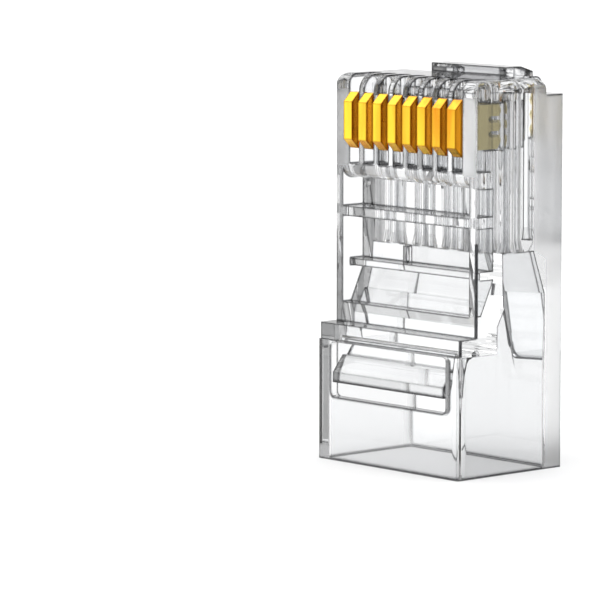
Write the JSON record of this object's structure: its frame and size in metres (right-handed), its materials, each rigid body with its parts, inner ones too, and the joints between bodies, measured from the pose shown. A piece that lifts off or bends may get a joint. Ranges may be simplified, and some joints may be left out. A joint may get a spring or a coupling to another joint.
{
  "type": "rj45 modular plug",
  "caption": "Clear modular plug with gold contacts in a comb nose, open cable entry with a stepped collar, windowed cable clamp and a sprung latch.",
  "frame": {"origin": "middle of the cable entry outline, on the plane of the entry rim", "axes": "+X across the width, -Y is the side of the contacts, +Y is the side of the latch, +Z runs from the cable entry to the nose that goes into the jack"},
  "size_m": [0.0116, 0.0122, 0.0227],
  "materials": {
    "clear_plastic": "clear polished polycarbonate",
    "gold": "gold plated, bright"
  },
  "bodies": {
    "housing": {"housing": "clear_plastic"},
    "latch": {"latch_lever": "clear_plastic"},
    "clamp": {"cable_clamp": "clear_plastic"},
    "contact_1": {"contact_1": "gold"},
    "contact_2": {"contact_2": "gold"},
    "contact_3": {"contact_3": "gold"},
    "contact_4": {"contact_4": "gold"},
    "contact_5": {"contact_5": "gold"},
    "contact_6": {"contact_6": "gold"},
    "contact_7": {"contact_7": "gold"},
    "contact_8": {"contact_8": "gold"}
  },
  "joints": [
    {"name": "latch_press", "type": "hinge", "parent": "housing", "child": "latch", "pos_m": [0, 0.0046, 0.0216], "axis": [-1, 0, 0], "range_deg": [0, 10], "stiffness_Nm_per_rad": 0.1},
    {"name": "clamp_fold", "type": "hinge", "parent": "housing", "child": "clamp", "pos_m": [0, -0.0022, 0.00685], "axis": [1, 0, 0], "range_deg": [0, 30]},
    {"name": "crimp_1", "type": "slide", "parent": "housing", "child": "contact_1", "axis": [0, 1, 0], "range_m": [0, 0.00105]},
    {"name": "crimp_2", "type": "slide", "parent": "housing", "child": "contact_2", "axis": [0, 1, 0], "range_m": [0, 0.00105]},
    {"name": "crimp_3", "type": "slide", "parent": "housing", "child": "contact_3", "axis": [0, 1, 0], "range_m": [0, 0.00105]},
    {"name": "crimp_4", "type": "slide", "parent": "housing", "child": "contact_4", "axis": [0, 1, 0], "range_m": [0, 0.00105]},
    {"name": "crimp_5", "type": "slide", "parent": "housing", "child": "contact_5", "axis": [0, 1, 0], "range_m": [0, 0.00105]},
    {"name": "crimp_6", "type": "slide", "parent": "housing", "child": "contact_6", "axis": [0, 1, 0], "range_m": [0, 0.00105]},
    {"name": "crimp_7", "type": "slide", "parent": "housing", "child": "contact_7", "axis": [0, 1, 0], "range_m": [0, 0.00105]},
    {"name": "crimp_8", "type": "slide", "parent": "housing", "child": "contact_8", "axis": [0, 1, 0], "range_m": [0, 0.00105]}
  ]
}
